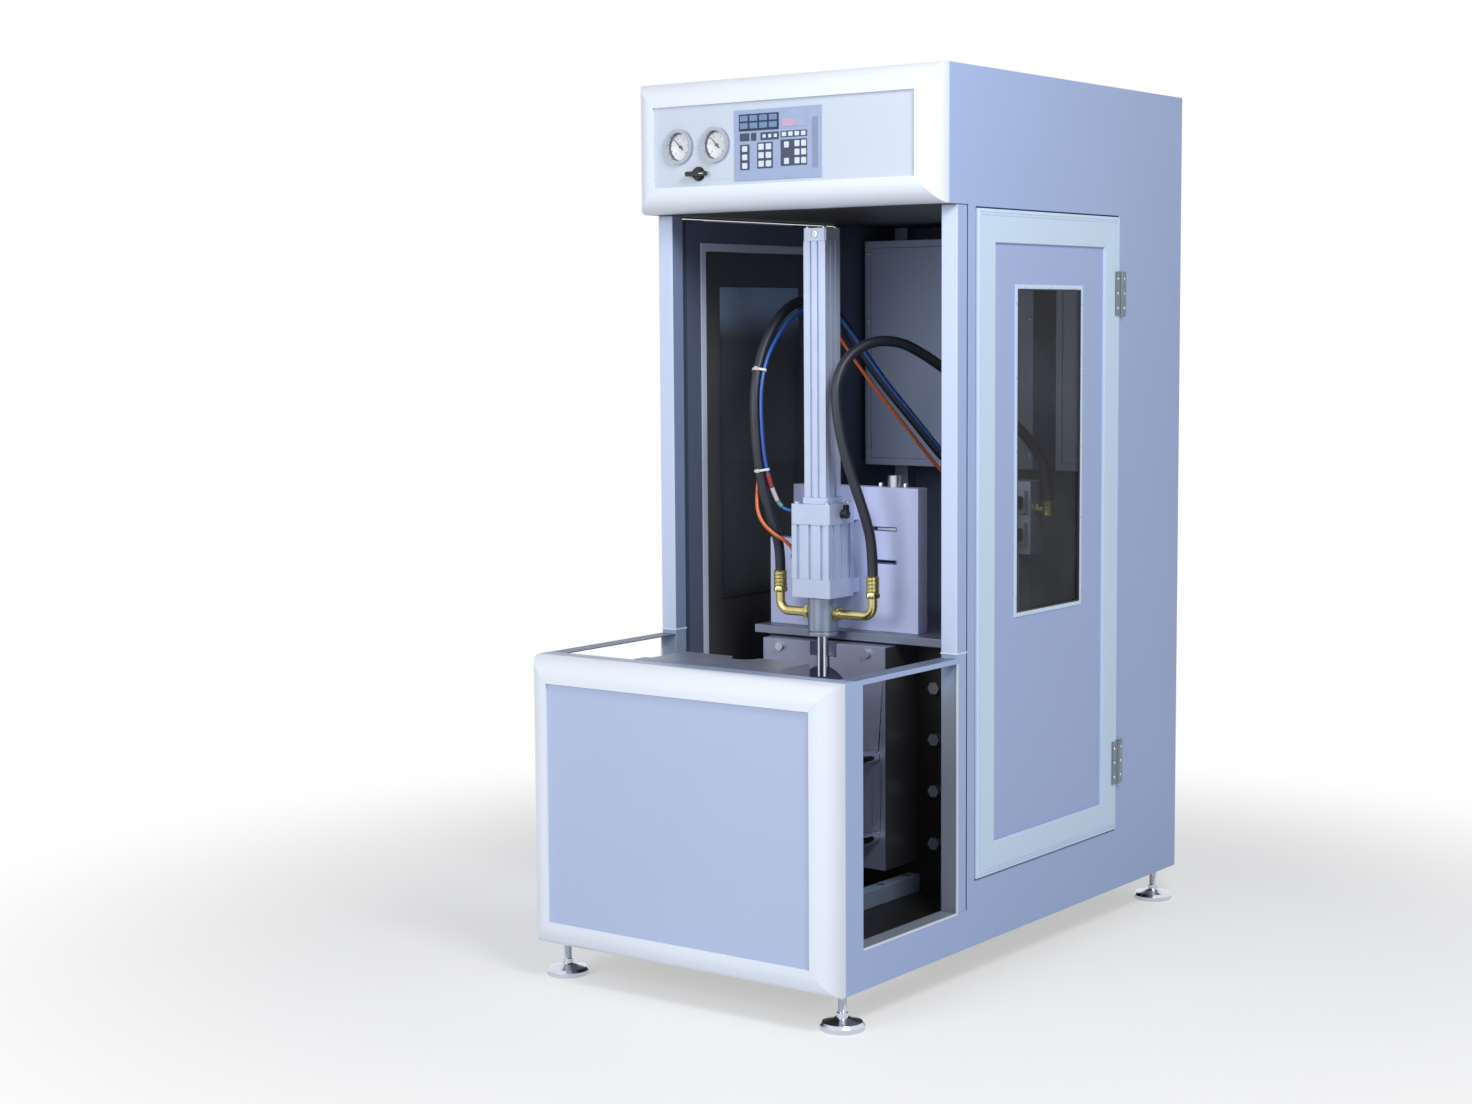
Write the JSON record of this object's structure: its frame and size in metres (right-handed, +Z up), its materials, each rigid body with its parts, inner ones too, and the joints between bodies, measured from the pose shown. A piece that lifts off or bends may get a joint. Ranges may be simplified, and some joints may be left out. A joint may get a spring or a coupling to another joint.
{
  "type": "blow moulding machine",
  "caption": "Stretch blow moulding machine: cabinet with an open mould bay, sliding clamp, vertical sealing and stretch cylinders, glazed side doors and a header control panel.",
  "frame": {"origin": "on the floor, in the middle of the machine's width and depth", "axes": "+Z up, the front faces -Y, +X to the right as seen from the front"},
  "size_m": [0.778, 1.42, 1.85],
  "materials": {
    "cabinet_paint": "lavender grey powder coat, semi-gloss",
    "white_edge_paint": "near-white gloss paint",
    "front_panel_paint": "pale blue-grey powder coat",
    "door_paint": "pale blue-white powder coat",
    "door_panel_paint": "pale blue-grey powder coat",
    "frame_paint": "pale blue-grey powder coat",
    "glass": "clear, slightly dark",
    "stainless_hinge": "brushed",
    "polished_steel": "ground and polished",
    "machined_steel": "machined, dark",
    "screw_steel": "zinc plated",
    "mould_aluminium": "machined",
    "cylinder_aluminium": "anodised, satin",
    "brass": "plain",
    "box_paint": "light grey paint",
    "chrome": "polished",
    "dial_white": "white, printed with a plain scale",
    "needle_black": "black",
    "black_plastic": "black",
    "key_unit_plastic": "light blue-grey film",
    "hose_rubber": "black, smooth",
    "blue_plastic": "blue",
    "orange_plastic": "orange",
    "nylon": "natural white"
  },
  "bodies": {
    "cabinet": {"right_side_panel": "cabinet_paint", "left_side_panel": "cabinet_paint", "rear_panel": "cabinet_paint", "top_panel": "cabinet_paint", "header_ceiling": "cabinet_paint", "base_bezel": "white_edge_paint", "header_bezel": "white_edge_paint", "base_panel": "front_panel_paint", "header_panel": "front_panel_paint", "frame": "frame_paint", "gauge_lenses": "glass", "hinge_fixed_leaves": "stainless_hinge", "levelling_feet": "polished_steel", "clamp_cylinder_tie_rods": "polished_steel", "bed_plate": "machined_steel", "guide_rails": "machined_steel", "rear_platen": "machined_steel", "head_base_plate": "machined_steel", "head_back_plate": "machined_steel", "machine_screws": "screw_steel", "air_inlet": "screw_steel", "rear_mould_half": "mould_aluminium", "clamp_cylinder_barrel": "cylinder_aluminium", "clamp_cylinder_caps": "cylinder_aluminium", "seal_cylinder_barrel": "cylinder_aluminium", "seal_cylinder_caps": "cylinder_aluminium", "stretch_cylinder_barrel": "cylinder_aluminium", "stretch_cylinder_caps": "cylinder_aluminium", "valve_block": "cylinder_aluminium", "port_fittings": "brass", "electrical_boxes": "box_paint", "gauge_cases": "chrome", "gauge_dials": "dial_white", "selector_body": "black_plastic", "membrane_panel": "key_unit_plastic", "right_hose": "hose_rubber", "left_hose": "hose_rubber", "blue_tube": "blue_plastic", "orange_tube": "orange_plastic", "cable_ties": "nylon"},
    "right_door": {"right_door_frame": "door_paint", "right_door_panel": "door_panel_paint", "right_door_pane": "glass", "right_door_hinge_leaves": "stainless_hinge"},
    "left_door": {"left_door_frame": "door_paint", "left_door_panel": "door_panel_paint", "left_door_pane": "glass", "left_door_hinge_leaves": "stainless_hinge"},
    "clamp_carriage": {"front_platen": "machined_steel", "front_mould_half": "mould_aluminium", "tie_bars": "polished_steel", "crosshead": "machined_steel", "clamp_piston_rod": "polished_steel"},
    "blow_head": {"blow_head": "cylinder_aluminium", "seal_piston_rod": "polished_steel", "head_elbows": "brass"},
    "stretch_rod": {"stretch_rod": "polished_steel"},
    "selector_knob": {"selector_knob": "black_plastic"},
    "left_gauge_needle": {"left_gauge_needle": "needle_black"},
    "right_gauge_needle": {"right_gauge_needle": "needle_black"}
  },
  "joints": [
    {"name": "right_door_swing", "type": "hinge", "parent": "cabinet", "child": "right_door", "pos_m": [0.3835, 0.412, 0.892], "axis": [0, 0, 1], "range_deg": [0, 110]},
    {"name": "left_door_swing", "type": "hinge", "parent": "cabinet", "child": "left_door", "pos_m": [-0.3835, 0.412, 0.892], "axis": [0, 0, -1], "range_deg": [0, 110]},
    {"name": "clamp_slide", "type": "slide", "parent": "cabinet", "child": "clamp_carriage", "axis": [0, 1, 0], "range_m": [0, 0.2747]},
    {"name": "blow_head_slide", "type": "slide", "parent": "cabinet", "child": "blow_head", "axis": [0, 0, -1], "range_m": [0, 0.04]},
    {"name": "stretch_rod_slide", "type": "slide", "parent": "cabinet", "child": "stretch_rod", "axis": [0, 0, -1], "range_m": [0, 0.33]},
    {"name": "selector_turn", "type": "hinge", "parent": "cabinet", "child": "selector_knob", "pos_m": [-0.207, -0.345, 1.656], "axis": [0, 1, 0], "range_deg": [-45, 45]},
    {"name": "left_gauge_needle_turn", "type": "hinge", "parent": "cabinet", "child": "left_gauge_needle", "pos_m": [-0.258, -0.335, 1.714], "axis": [0, 1, 0], "range_deg": [-90, 180], "stiffness_Nm_per_rad": 0.01},
    {"name": "right_gauge_needle_turn", "type": "hinge", "parent": "cabinet", "child": "right_gauge_needle", "pos_m": [-0.163, -0.335, 1.714], "axis": [0, 1, 0], "range_deg": [-90, 180], "stiffness_Nm_per_rad": 0.01}
  ]
}
